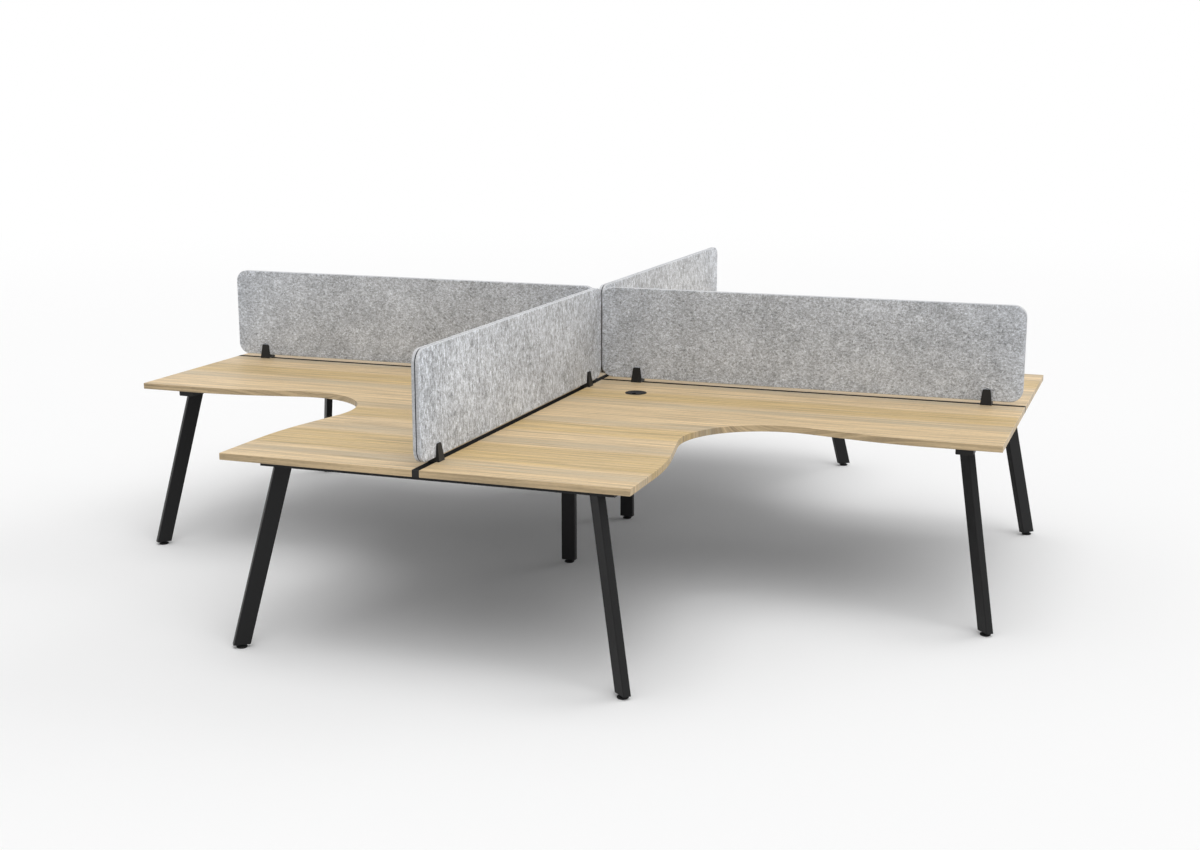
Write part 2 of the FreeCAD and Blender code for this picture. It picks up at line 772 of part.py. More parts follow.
def beam(name, turns, starts):
    """Beam under the gap with a bolted plate at each end; starts is where its tube begins on the arm."""
    body = new_body(name)
    ends_at = rail_inner_face - size.plate_thickness
    section = new_sketch(body, "BeamSection", "YZ_Plane", y=-size.beam_height / 2, z=starts)
    tube_section(section, size.beam_width, size.beam_height, size.tube_wall)
    extrude(body, section, ends_at - starts)
    half_plate = size.beam_width / 2 + size.plate_margin
    plates = [ends_at]
    through = starts.value < 0
    plates.append(-rail_inner_face if through else size.beam_width / 2)
    for low in plates:
        box(body, "AdditiveBox", "EndPlate", (low, -half_plate, -size.beam_height),
            (low + size.plate_thickness, half_plate, ZERO))
        for side in (bolt_side, -bolt_side):
            bolt_hole(body, side, low, size.plate_thickness)
    tabs = [size.tab_beam_near, tab_beam_far]
    if through:
        tabs += [-size.tab_beam_near, -tab_beam_far]
    half_tab = size.tab_length / 2
    tab_end = size.beam_width / 2 + size.tab_width
    hole = {"Radius": screw_hole_radius, "Height": size.tab_thickness}
    for place in tabs:
        box(body, "AdditiveBox", "Tab", (place - half_tab, -tab_end, -size.tab_thickness),
            (place + half_tab, tab_end, ZERO))
        for side in (tab_beam_side, -tab_beam_side):
            primitive(body, "SubtractiveCylinder", "TabHole", hole, x=place, y=side, z=-size.tab_thickness)
    if through:
        depth = {"Radius": bolt_hole_radius, "Height": size.beam_width}
        for place in (bolt_side, -bolt_side):
            primitive(body, "SubtractiveCylinder", "SideBoltHole", depth, "XZ_Plane", place,
                      -size.beam_height / 2, -size.beam_width / 2)
    stand(body, turns, lift=underside)
    keep(body)


# Fixings

def frame_bolt(name, turns, seat, side, outward):
    """Hexagon bolt through an end plate, with its head on the plate's open side."""
    body = new_body(name)
    grip = size.plate_thickness + size.bolt_reach
    middle = -size.beam_height / 2
    head_start = seat - size.bolt_head_height if outward else seat
    shank_start = seat if outward else seat - grip
    head = {"Circumradius": size.bolt_head_radius, "Height": size.bolt_head_height}
    hexagon = primitive(body, "AdditivePrism", "Head", head, "YZ_Plane", side, middle, head_start)
    hexagon.Polygon = 6
    shank = {"Radius": size.bolt_radius, "Height": grip}
    primitive(body, "AdditiveCylinder", "Shank", shank, "YZ_Plane", side, middle, shank_start)
    stand(body, turns, lift=underside)
    return body


def worktop_screw(name, turns, x, y):
    """Pan-head screw up through a tab into the worktop."""
    body = new_body(name)
    head = {"Radius": size.screw_head_radius, "Height": size.screw_head_height}
    primitive(body, "AdditiveCylinder", "Head", head, z=-size.tab_thickness - size.screw_head_height)
    shank = {"Radius": size.screw_radius, "Height": size.tab_thickness + size.screw_bite}
    primitive(body, "AdditiveCylinder", "Shank", shank, z=-size.tab_thickness)
    stand(body, turns, x, y, underside)
    return body


# The assembly
filler_caps = []
cores = []
clips = []
plugs = []
inserts = []
bolts = []
screws = []
clip_places = (("inner", size.clip_inner_place), ("outer", reach - size.clip_outer_inset))
rail_bolt_seat = rail_inner_face - size.plate_thickness
side_beam_start = size.beam_width / 2 + size.plate_thickness

for turns, name in enumerate(WORKTOPS):
    worktop(name, turns)
    grommet_ring(name, turns)
    grommet_cap(name, turns)
    for number, (x, y) in enumerate(screw_places()):
        screws.append(worktop_screw(f"screw_{name}_{number}", turns, x, y))

for arm, turns, plus_side, minus_side in ARMS:
    lengthwise = arm in ("front", "back")
    filler_rail(arm, turns, size.filler_clearance if lengthwise else half_gap)
    filler_caps.append(filler_cap(arm, turns))
    cores.append(screen_core(arm, turns))
    felt_panel(arm, turns, plus_side, 1)
    felt_panel(arm, turns, minus_side, -1)
    for spot, place in clip_places:
        clips.append(screen_clip(f"clip_{arm}_{spot}", turns, place))
    end_rail(arm, turns)
    for face, side in ((plus_side, 1), (minus_side, -1)):
        plugs.append(rail_plug(f"plug_{arm}_{face}", turns, side))
        splayed_leg(f"leg_{arm}_{face}", turns, side)
        across = foot_side * side
        inserts.append(leg_insert(f"insert_{arm}_{face}", turns, foot_line, across, side))
        levelling_foot(f"foot_{arm}_{face}", turns, foot_line, across)
        across = bolt_side * side
        bolts.append(frame_bolt(f"bolt_{arm}_{face}", turns, rail_bolt_seat, across, True))
        if not lengthwise:
            bolts.append(frame_bolt(f"bolt_centre_{arm}_{face}", turns, side_beam_start, across, False))
    if lengthwise:
        centre_post(f"post_{arm}", turns)
        inserts.append(leg_insert(f"insert_post_{arm}", turns, size.post_place, ZERO, 0))
        levelling_foot(f"foot_post_{arm}", turns, size.post_place, ZERO)
    else:
        beam(f"beam_{arm}", turns, side_beam_start)

beam("beam_lengthwise", 1, size.plate_thickness - rail_inner_face)
keep_group("filler_rail_caps", filler_caps)
keep_group("screen_cores", cores)
keep_group("screen_clips", clips)
keep_group("end_rail_plugs", plugs)
keep_group("leg_inserts", inserts)
keep_group("frame_bolts", bolts)
keep_group("worktop_screws", screws)

doc.recompute()

# Every feature has to have worked, and every cut has to have removed something
for feature in doc.Objects:
    if {"Invalid", "Error"} & set(feature.State):
        raise RuntimeError(f"{feature.Label} failed: {feature.State}")
    if feature.TypeId.startswith("PartDesign::Subtractive"):
        if feature.Shape.Volume >= feature.BaseFeature.Shape.Volume:
            raise RuntimeError(f"{feature.Label} cuts nothing")

for piece in parts:
    if piece.Shape.isNull() or not piece.Shape.isValid():
        raise RuntimeError(f"{piece.Label} has no valid shape")

os.makedirs("parts", exist_ok=True)
for piece in parts:
    piece.Shape.exportStep(f"parts/{piece.Label}.step")
    print(piece.Label, len(piece.Shape.Solids), round(piece.Shape.Volume))
print(len(parts), "sub-parts")
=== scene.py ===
"""Looks of the four-person corner workstation: finishes, felt screens, welds, screws, light and camera.

Metres, in the frame of the model: origin on the floor under the middle of the cluster, +X right, +Y back.
"""

import json
import math

import bmesh
import bpy
from mathutils import Matrix, Vector, geometry, noise


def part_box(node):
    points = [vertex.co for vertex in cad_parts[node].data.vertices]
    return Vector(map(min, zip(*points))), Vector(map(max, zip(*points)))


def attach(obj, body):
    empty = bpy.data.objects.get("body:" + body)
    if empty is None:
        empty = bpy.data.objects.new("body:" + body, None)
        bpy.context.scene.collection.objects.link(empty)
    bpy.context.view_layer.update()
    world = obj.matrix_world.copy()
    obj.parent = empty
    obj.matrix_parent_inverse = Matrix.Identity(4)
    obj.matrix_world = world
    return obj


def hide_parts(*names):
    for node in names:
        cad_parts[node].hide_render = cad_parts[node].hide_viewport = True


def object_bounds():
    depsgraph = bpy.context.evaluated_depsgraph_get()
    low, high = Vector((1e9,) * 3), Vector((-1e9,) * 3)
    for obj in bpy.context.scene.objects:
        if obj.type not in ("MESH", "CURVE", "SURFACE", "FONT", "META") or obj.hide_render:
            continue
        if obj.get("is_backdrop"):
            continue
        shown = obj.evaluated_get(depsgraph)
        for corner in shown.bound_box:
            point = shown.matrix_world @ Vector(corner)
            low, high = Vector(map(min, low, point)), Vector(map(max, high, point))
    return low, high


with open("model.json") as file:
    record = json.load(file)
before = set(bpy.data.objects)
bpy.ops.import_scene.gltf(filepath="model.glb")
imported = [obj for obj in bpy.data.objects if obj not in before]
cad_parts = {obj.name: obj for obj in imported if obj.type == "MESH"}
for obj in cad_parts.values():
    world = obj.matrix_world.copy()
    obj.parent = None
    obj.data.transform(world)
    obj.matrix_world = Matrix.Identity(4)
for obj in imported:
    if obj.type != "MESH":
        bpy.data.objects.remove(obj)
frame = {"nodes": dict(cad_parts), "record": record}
cad_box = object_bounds()
nodes = frame["nodes"]
subparts = frame["record"]["subparts"]

BODY = "desk"
ARMS = ("right", "back", "left", "front")
BEAMS = ("beam_lengthwise", "beam_left", "beam_right")
WHITE = (1.0, 1.0, 1.0, 1.0)

# Where most of a noise's values lie
NOISE_BODY = (0.3, 0.7)

# Oak: layers of the grain in waves per metre, along it and across it
WAVER = {"waves": (0.8, 2.2, 0.0)}
STREAKS = {"waves": (1.3, 40.0, 0.0), "detail": 3.0, "roughness": 0.6, "distortion": 0.5}
THREADS = {"waves": (2.4, 120.0, 0.0), "detail": 3.0, "roughness": 0.6, "distortion": 0.2}
VEINS = {"waves": (1.6, 62.0, 0.0), "shift": (4.0, 2.0, 0.0), "distortion": 0.6}
PORES = {"waves": (38.0, 900.0, 0.0)}

# Oak: how far the layers push the bands sideways, and how much they change the tone and the relief
OAK_DRIFT = {"waver": 0.07, "streaks": 0.08, "threads": 0.05}
OAK_TONE = {"streaks": 0.92, "crisp": 0.30, "waver": 0.12}
OAK_RELIEF = {"pores": 1.0, "threads": 0.5}
OAK_BUMP = {"distance": 0.00012, "strength": 0.5}
OAK_ROUGHNESS = (0.50, 0.42)

# Oak: a range of a layer's values and what it is turned into
GOLD_STREAKS = (0.30, 0.60)
GOLD_SHARE = (0.45, 1.0)
GREY_THREADS = (0.40, 0.58)
CRISP_THREADS = (0.40, 0.60)
CRISP_SWING = (-0.5, 0.5)
VEIN_LINE = (0.57, 0.68)
VEIN_SHADE = (1.0, 0.74)
PORE_PIT = (0.36, 0.46)
PORE_SHADE = (0.78, 1.0)

# Oak: ranges of the surface's direction that tell the board's top, edges and underside apart
FRONT_FACING = (0.6, 0.9)
TOP_FACING = (0.3, 0.9)
UNDER_FACING = (-0.6, -0.9)
EDGE_SHADE = (0.70, 1.0)
TOP_LEVEL = 0.725

# Oak: colours, and the bands across the worktops with their middle and half width along Y
OAK_LIGHT = (0.715, 0.538, 0.316, 1.0)
OAK_GOLD = (0.622, 0.450, 0.208, 1.0)
OAK_GREY = (0.520, 0.425, 0.285, 1.0)
BACKING_DARK = (0.095, 0.095, 0.097, 1.0)
BACKING_LIGHT = (0.125, 0.125, 0.125, 1.0)
GOLDEN_BANDS = ((-1.47, 0.12), (-1.00, 0.075), (-0.315, 0.08), (0.50, 0.08), (1.05, 0.12), (1.60, 0.07))
GREY_BANDS = ((-1.67, 0.03), (-1.27, 0.03), (-0.85, 0.03), (-0.47, 0.03), (-0.045, 0.025), (0.28, 0.03),
              (0.78, 0.04))
BAND_SOFTNESS = 0.022
GRAIN_SPAN = 1.9

# Felt: layers of mottling, fibres that lie level or upright, and curls
CLOUD = {"scale": 4.5}
MOTTLE = {"scale": 34.0, "distortion": 0.4}
FLECK = {"scale": 130.0, "roughness": 0.6, "distortion": 1.0}
FLECK_SHIFT = (3.1, 1.7, 0.4)
FUZZ = {"scale": 260.0, "detail": 3.0, "roughness": 0.65, "distortion": 0.8}
LEVEL_FIBRES = {"waves": (75.0, 75.0, 150.0), "roughness": 0.6, "distortion": 0.8}
UPRIGHT_FIBRES = {"waves": (105.0, 105.0, 42.0), "roughness": 0.6, "distortion": 0.8}
CURL_NOISE = {"detail": 1.0, "roughness": 0.4, "distortion": 0.6}
DARK_CURLS = {"scale": 24.0, "width": 0.020}
FINE_CURLS = {"scale": 55.0, "width": 0.030, "shift": (7.3, 2.9, 5.1)}
PALE_CURLS = {"scale": 46.0, "width": 0.028, "shift": (1.3, 8.2, 2.7)}
CURLY_MOTTLE = (0.42, 0.60)

# Felt: how much each layer changes the tone and the relief
FELT_TONE = {"cloud": 0.48, "mottle": 0.60, "fleck": 1.25, "fuzz": 1.20, "level": 1.2, "upright": 1.8,
             "dark_curls": -0.28, "fine_curls": -0.15, "pale_curls": 0.17}
FELT_RELIEF = {"fuzz": 1.0, "fleck": 0.5}
FELT_BUMP = {"distance": 0.0007, "strength": 0.5}

# Felt: colours of the faces over a range of tones, and of the cut edges, with a painted highlight where
# they face up and painted shade where they face sideways or down
FELT_TONES = (0.75, 1.25)
FELT_DARK = (0.504, 0.532, 0.578, 1.0)
FELT_LIGHT = (0.574, 0.606, 0.659, 1.0)
FELT_EDGE_PAINTED_HIGHLIGHT = (0.725, 0.728, 0.735, 1.0)
FELT_EDGE_PAINTED_SHADE = (0.445, 0.447, 0.452, 1.0)
FELT_UPWARD = (0.0, 0.8)
FELT_EDGE_SHARE = 0.75

# Felt: how much of the layers' contrast the faces and the edges keep
FELT_CONTRAST = (1.0, 0.45)

# Hard finishes: fine grain and patches in waves per metre, and half the swing of the roughness
POWDER_GRAIN = {"fine": {"scale": 900.0, "roughness": 0.6}, "patches": 5.0, "swing": 0.07,
                "bump": {"distance": 0.00010, "strength": 0.5}}
MOULDED_GRAIN = {"fine": {"scale": 1800.0}, "patches": 14.0, "swing": 0.06,
                 "bump": {"distance": 0.00006, "strength": 0.5}}
HARD_FINISHES = {
    "black_powder_coat": {"grain": POWDER_GRAIN, "roughness": 0.50, "specular": 0.24,
                          "dark": (0.0065, 0.0065, 0.0068, 1.0), "light": (0.0090, 0.0090, 0.0092, 1.0)},
    "black_filler": {"grain": POWDER_GRAIN, "roughness": 0.75, "specular": 0.08,
                     "dark": (0.0035, 0.0035, 0.0036, 1.0), "light": (0.0048, 0.0048, 0.0048, 1.0)},
    "black_plastic": {"grain": MOULDED_GRAIN, "roughness": 0.52, "specular": 0.27,
                      "dark": (0.0100, 0.0097, 0.0090, 1.0), "light": (0.0140, 0.0135, 0.0125, 1.0)},
    "grommet_plastic": {"grain": MOULDED_GRAIN, "roughness": 0.45, "specular": 0.17,
                        "dark": (0.0095, 0.0100, 0.0108, 1.0), "light": (0.0135, 0.0140, 0.0148, 1.0)},
    "foot_plastic": {"grain": MOULDED_GRAIN, "roughness": 0.55, "specular": 0.25,
                     "dark": (0.0055, 0.0055, 0.0058, 1.0), "light": (0.0080, 0.0080, 0.0083, 1.0)},
}
ZINC_SPANGLE = {"scale": 260.0, "detail": 3.0, "roughness": 0.6}
ZINC_PATCHES = 20.0
ZINC_DARK = (0.50, 0.51, 0.53, 1.0)
ZINC_LIGHT = (0.62, 0.62, 0.61, 1.0)
ZINC_ROUGHNESS = (0.26, 0.42)
ZINC_BUMP = {"distance": 0.00004, "strength": 0.4}

# Felt panels: form, and the mesh attribute that is 1 along their edges and 0 on their faces
FELT_CORNER = 0.050
FELT_CORNER_STEPS = 12
FELT_EDGE_ROUND = 0.0025
FELT_EDGE_STEPS = 5
FELT_INNER_CHAMFER = 0.0008
FELT_RIM = 0.006
FELT_CELL = 0.018
FELT_UNEVENNESS = 0.0007
RIM = "rim"

# Waves of the felt's uneven face: length and share of the unevenness
FELT_WAVES = ((0.090, 0.7), (0.018, 0.3))

# Weld beads
BEAD_RADIUS = 0.0026
BEAD_STEP = 0.0016
BEAD_RIPPLE_LENGTH = 0.0048
BEAD_RIPPLE = 0.22
BEAD_SPATTER = 0.12
BEAD_SPATTER_WAVES = 180
BEAD_SIDES = 8

# Sine of the angle from upright below which a line counts as upright
NEARLY_UPRIGHT = 0.1

# Beams, as they meet their end plates
BEAM_WIDTH = 0.060
BEAM_HEIGHT = 0.040
PLATE_THICKNESS = 0.005

# Screws and bolts; a profile's points are shares of the head's radius and of its height
ROUND_SIDES = 24
SCREW_HEAD_HEIGHT = 0.0025
SCREW_HEAD_PROFILE = ((1.0, 0.0), (1.0, 0.40), (0.95, 0.72), (0.84, 0.93), (0.74, 1.0))
SCREW_SHANK_RADIUS = 0.0020
RECESS_LENGTH = 0.0054
RECESS_WIDTH = 0.0013
RECESS_DEPTH = 0.0012
RECESS_TAPER = 0.8
BOLT_HEAD_HEIGHT = 0.0053
BOLT_HEAD_CHAMFER = 0.0009
BOLT_FACE_SHARE = 0.80
BOLT_SHANK_RADIUS = 0.0040
HEXAGON_POINTS = 12
HEXAGON_FLAT_SHARE = math.cos(math.radians(30))

# Tip of a shank, as shares of its radius
TIP_LENGTH = 0.3
TIP_RADIUS = 0.8

# How close vertices of the solids are taken to be at one level or in one place
SAME_LEVEL = 1e-5
SAME_PLACE = 1e-6

# Floor
FLOOR_RADIUS = 60.0
FLOOR_SIDES = 96
FLOOR_FADE = (7.0, 16.0)
FLOOR_PATCHES = 0.6
FLOOR_DARK = (0.955, 0.955, 0.957, 1.0)
FLOOR_LIGHT = (0.962, 0.962, 0.962, 1.0)

# Light: the dome's strength as light and as seen, and the lamps
# A lamp has a name, a strength, and an elevation and a heading from +X in degrees
DOME_STRENGTH = (0.51, 1.0)
LAMP_SPREAD = 45.0
LAMPS = (("overhead", 0.66, 90.0, 0.0), ("key", 0.83, 55.0, -45.0), ("fill", 0.81, 18.0, 45.0))

# Camera, with angles in degrees
CAMERA_PLACE = (2.4252, -6.6735, 2.0231)
CAMERA_TURN = 19.958
CAMERA_TILT = 11.960
CAMERA_REACH = 500.0
FOCAL_PIXELS = 1651.5
PHOTO_WIDTH = 1200
SENSOR_WIDTH = 36.0


# Node helpers

class Graph:
    """A node tree built with short calls. Values are sockets, numbers or tuples."""

    # A Mix node's sockets for colours: factor, first and second colour, and the result
    MIX_INPUTS = (0, 6, 7)
    MIX_OUTPUT = 2

    def __init__(self, tree):
        self.tree = tree
        self.tree.nodes.clear()

    def put(self, socket, value):
        if isinstance(value, bpy.types.NodeSocket):
            self.tree.links.new(value, socket)
        else:
            socket.default_value = value

    def node(self, kind, inputs=None, **settings):
        made = self.tree.nodes.new(kind)
        for name, value in settings.items():
            setattr(made, name, value)
        for name, value in (inputs or {}).items():
            self.put(made.inputs[name], value)
        return made

    def math(self, operation, *values):
        inputs = dict(enumerate(values))
        return self.node("ShaderNodeMath", inputs, operation=operation).outputs["Value"]

    def times(self, first, second):
        return self.math("MULTIPLY", first, second)

    def remap(self, value, span, result=(0.0, 1.0), smooth=False):
        """Turn a range of values into another one, and hold its ends outside of it."""
        kind = "SMOOTHSTEP" if smooth else "LINEAR"
        inputs = {"Value": value, "From Min": span[0], "From Max": span[1], "To Min": result[0],
                  "To Max": result[1]}
        return self.node("ShaderNodeMapRange", inputs, interpolation_type=kind).outputs["Result"]

    def centred(self, value):
        """A noise value moved so that it swings about zero."""
        return self.math("SUBTRACT", value, 0.5)

    def weighted(self, start, layers, weights):
        """A start value plus the layers times their weights, which are both kept by the layers' names."""
        total = start
        for name, weight in weights.items():
            total = self.math("MULTIPLY_ADD", layers[name], weight, total)
        return total

    def place(self):
        return self.node("ShaderNodeTexCoord").outputs["Object"]

    def facing(self):
        """X, Y and Z of the surface's direction."""
        return self.split(self.node("ShaderNodeTexCoord").outputs["Normal"])

    def split(self, vector):
        return self.node("ShaderNodeSeparateXYZ", {"Vector": vector}).outputs

    def shift(self, vector, offset):
        """Move a place, so that one noise doesn't follow another."""
        return self.node("ShaderNodeMapping", {"Vector": vector, "Location": offset}).outputs["Vector"]

    def noise(self, vector, scale, detail=2.0, roughness=0.5, distortion=0.0):
        inputs = {"Vector": vector, "Scale": scale, "Detail": detail, "Roughness": roughness,
                  "Distortion": distortion}
        return self.node("ShaderNodeTexNoise", inputs).outputs["Fac"]

    def grain(self, vector, waves, shift=(0.0, 0.0, 0.0), **settings):
        """Noise with its own number of waves per metre along each axis."""
        inputs = {"Vector": vector, "Scale": waves, "Location": shift}
        stretched = self.node("ShaderNodeMapping", inputs).outputs["Vector"]
        return self.noise(stretched, 1.0, **settings)

    def mix(self, factor, first, second):
        """Mix two colours."""
        inputs = dict(zip(self.MIX_INPUTS, (factor, first, second)))
        return self.node("ShaderNodeMix", inputs, data_type="RGBA").outputs[self.MIX_OUTPUT]

    def shade(self, colour, amount):
        """Multiply a colour by a number."""
        grey = self.node("ShaderNodeCombineXYZ", {"X": amount, "Y": amount, "Z": amount}).outputs["Vector"]
        shaded = self.node("ShaderNodeVectorMath", {0: colour, 1: grey}, operation="MULTIPLY")
        return shaded.outputs["Vector"]

    def bands(self, place, bands):
        """1 inside the bands and 0 outside them."""
        ramp = self.node("ShaderNodeValToRGB", {"Fac": self.remap(place, (-GRAIN_SPAN, GRAIN_SPAN))})
        stops = ramp.color_ramp.elements
        for stop in stops:
            stop.color = (0.0, 0.0, 0.0, 1.0)
        for middle, half in bands:
            edges = ((-half - BAND_SOFTNESS, 0.0), (-half, 1.0), (half, 1.0), (half + BAND_SOFTNESS, 0.0))
            for offset, level in edges:
                stop = stops.new((middle + offset + GRAIN_SPAN) / (2 * GRAIN_SPAN))
                stop.color = (level, level, level, 1.0)
        return ramp.outputs["Color"]

    def bump(self, height, distance, strength):
        inputs = {"Height": height, "Distance": distance, "Strength": strength}
        return self.node("ShaderNodeBump", inputs).outputs["Normal"]

    def blend(self, factor, first, second):
        """Mix two shaders."""
        return self.node("ShaderNodeMixShader", {0: factor, 1: first, 2: second}).outputs["Shader"]


class Finish(Graph):
    """The node tree of a new material."""

    def __init__(self, name):
        self.material = bpy.data.materials.new(name)
        self.material.use_nodes = True
        super().__init__(self.material.node_tree)

    def end(self, surface):
        self.node("ShaderNodeOutputMaterial", {"Surface": surface})
        return self.material

    def finish(self, **inputs):
        """End the tree in a Principled shader; underscores in a socket's name stand for spaces."""
        named = {name.replace("_", " "): value for name, value in inputs.items()}
        return self.end(self.node("ShaderNodeBsdfPrincipled", named).outputs["BSDF"])


# Finishes

def oak_laminate():
    """Printed oak: light and golden bands along X, grey streaks and pores, and a plain backing below."""
    oak = Finish("oak_laminate_finish")
    facing = oak.facing()
    place = oak.split(oak.place())
    # The grain runs on over the edges that face front or back
    front = oak.remap(oak.math("ABSOLUTE", facing["Y"]), FRONT_FACING)
    depth = oak.math("SUBTRACT", place["Z"], TOP_LEVEL)
    across = oak.math("MULTIPLY_ADD", depth, front, place["Y"])
    flat = oak.node("ShaderNodeCombineXYZ", {"X": place["X"], "Y": across}).outputs["Vector"]
    waver = oak.grain(flat, **WAVER)
    streaks = oak.grain(flat, **STREAKS)
    threads = oak.grain(flat, **THREADS)
    layers = {
        "waver": oak.centred(waver),
        "streaks": oak.centred(streaks),
        "threads": oak.centred(threads),
        "crisp": oak.remap(threads, CRISP_THREADS, CRISP_SWING, smooth=True),
    }
    drifted = oak.weighted(across, layers, OAK_DRIFT)
    golden = oak.times(oak.bands(drifted, GOLDEN_BANDS), oak.remap(streaks, GOLD_STREAKS, GOLD_SHARE))
    greyish = oak.times(oak.bands(drifted, GREY_BANDS), oak.remap(threads, GREY_THREADS, smooth=True))
    colour = oak.mix(greyish, oak.mix(golden, OAK_LIGHT, OAK_GOLD), OAK_GREY)
    veins = oak.remap(oak.grain(flat, **VEINS), VEIN_LINE, VEIN_SHADE, smooth=True)
    pores = oak.remap(oak.grain(flat, **PORES), PORE_PIT, PORE_SHADE, smooth=True)
    tone = oak.weighted(1.0, layers, OAK_TONE)
    colour = oak.shade(colour, oak.times(tone, oak.times(veins, pores)))
    colour = oak.shade(colour, oak.remap(facing["Z"], TOP_FACING, EDGE_SHADE))
    underneath = oak.remap(facing["Z"], UNDER_FACING, smooth=True)
    colour = oak.mix(underneath, colour, oak.mix(threads, BACKING_DARK, BACKING_LIGHT))
    relief = oak.weighted(0.0, {"pores": pores, "threads": threads}, OAK_RELIEF)
    return oak.finish(Base_Color=colour, Roughness=oak.remap(threads, NOISE_BODY, OAK_ROUGHNESS),
                      Specular_IOR_Level=0.35, Normal=oak.bump(relief, **OAK_BUMP))


def curls(felt, place, scale, width, shift=(0.0, 0.0, 0.0)):
    """Thin curved fibres: the lines along which a noise passes its middle value."""
    level = felt.noise(felt.shift(place, shift), scale, **CURL_NOISE)
    return felt.remap(felt.math("ABSOLUTE", felt.centred(level)), (0.0, width), (1.0, 0.0), smooth=True)


def grey_felt():
    """Pressed felt: fibres and curls over soft mottling, with a painted highlight on the upper edges and
    painted shade on the ends.
    """
    felt = Finish("grey_felt_finish")
    facing = felt.facing()
    place = felt.place()
    mottle = felt.noise(place, **MOTTLE)
    fleck = felt.noise(felt.shift(place, FLECK_SHIFT), **FLECK)
    fuzz = felt.noise(place, **FUZZ)
    level = felt.centred(felt.grain(place, **LEVEL_FIBRES))
    upright = felt.centred(felt.grain(place, **UPRIGHT_FIBRES))
    layers = {
        "cloud": felt.centred(felt.noise(place, **CLOUD)),
        "mottle": felt.centred(mottle),
        "fleck": felt.centred(fleck),
        "fuzz": felt.centred(fuzz),
        "level": felt.times(level, felt.math("ABSOLUTE", facing["Y"])),
        "upright": felt.times(upright, felt.math("ABSOLUTE", facing["X"])),
        "dark_curls": felt.times(curls(felt, place, **DARK_CURLS), felt.remap(mottle, CURLY_MOTTLE)),
        "fine_curls": curls(felt, place, **FINE_CURLS),
        "pale_curls": curls(felt, place, **PALE_CURLS),
    }
    tone = felt.weighted(1.0, layers, FELT_TONE)
    colour = felt.mix(felt.remap(tone, FELT_TONES), FELT_DARK, FELT_LIGHT)
    rim = felt.node("ShaderNodeAttribute", attribute_name=RIM).outputs["Fac"]
    # The cut edges get a painted highlight where they face up and painted shade where they face sideways or
    # down
    edge = felt.mix(felt.remap(facing["Z"], FELT_UPWARD), FELT_EDGE_PAINTED_SHADE, FELT_EDGE_PAINTED_HIGHLIGHT)
    colour = felt.mix(felt.times(rim, FELT_EDGE_SHARE), colour, edge)
    contrast = felt.remap(rim, (0.0, 1.0), FELT_CONTRAST)
    even = felt.math("MULTIPLY_ADD", felt.math("SUBTRACT", tone, 1.0), contrast, 1.0)
    relief = felt.weighted(0.0, {"fuzz": fuzz, "fleck": fleck}, FELT_RELIEF)
    return felt.finish(Base_Color=felt.shade(colour, even), Roughness=0.95, Specular_IOR_Level=0.15,
                       Sheen_Weight=0.12, Sheen_Roughness=0.6, Normal=felt.bump(relief, **FELT_BUMP))


def hard_finish(name, grain, dark, light, roughness, specular):
    """Powder coat or moulded plastic: a fine grain and faint patches of tone."""
    coat = Finish(name)
    place = coat.place()
    fine = coat.noise(place, **grain["fine"])
    patches = coat.noise(place, grain["patches"])
    gloss = (roughness - grain["swing"], roughness + grain["swing"])
    return coat.finish(Base_Color=coat.mix(patches, dark, light), Specular_IOR_Level=specular,
                       Roughness=coat.remap(fine, NOISE_BODY, gloss),
                       Normal=coat.bump(fine, **grain["bump"]))


def zinc_steel():
    """Bright zinc plate, slightly clouded."""
    zinc = Finish("zinc_steel_finish")
    place = zinc.place()
    spangle = zinc.noise(place, **ZINC_SPANGLE)
    colour = zinc.mix(zinc.noise(place, ZINC_PATCHES), ZINC_DARK, ZINC_LIGHT)
    roughness = zinc.remap(spangle, NOISE_BODY, ZINC_ROUGHNESS)
    return zinc.finish(Base_Color=colour, Metallic=1.0, Roughness=roughness,
                       Normal=zinc.bump(spangle, **ZINC_BUMP))


finishes = {"oak_laminate": oak_laminate(), "grey_felt": grey_felt(), "zinc_steel": zinc_steel()}
for slot, settings in HARD_FINISHES.items():
    finishes[slot] = hard_finish(f"{slot}_finish", **settings)

for row in subparts:
    slots = nodes[row["node"]].data.materials
    slots.clear()
    slots.append(finishes[row["material_slot"]])


# Object and mesh helpers

def add_object(name, data):
    """Put an object with the given data into the scene."""
    made = bpy.data.objects.new(name, data)
    bpy.context.scene.collection.objects.link(made)
    return made


def mesh_of(name, mesh_data, material):
    """Turn a bmesh into a mesh of one material."""
    mesh = bpy.data.meshes.new(name)
    mesh_data.to_mesh(mesh)
    mesh_data.free()
    mesh.materials.append(material)
    return mesh


def new_piece(name, mesh_data, slot, replaced=()):
    """Make a piece of the desk from a bmesh, with the finish of a slot."""
    bmesh.ops.recalc_face_normals(mesh_data, faces=mesh_data.faces)
    mesh = mesh_of(name, mesh_data, finishes[slot])
    mesh.shade_smooth()
    piece = add_object(name, mesh)
    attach(piece, BODY)
    if replaced:
        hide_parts(*replaced)
    return piece


def bridge(mesh_data, rings, closed=False):
    """Join rings of vertices with quads, and the last one with the first where the row is closed."""
    pairs = list(zip(rings, rings[1:]))
    if closed:
        pairs.append((rings[-1], rings[0]))
    for first, second in pairs:
        count = len(first)
        for index in range(count):
            after = (index + 1) % count
            mesh_data.faces.new((first[index], first[after], second[after], second[index]))


def along(axis, distance):
    """A vector along the X, Y or Z axis."""
    vector = Vector()
    vector[axis] = distance
    return vector


# Felt screens

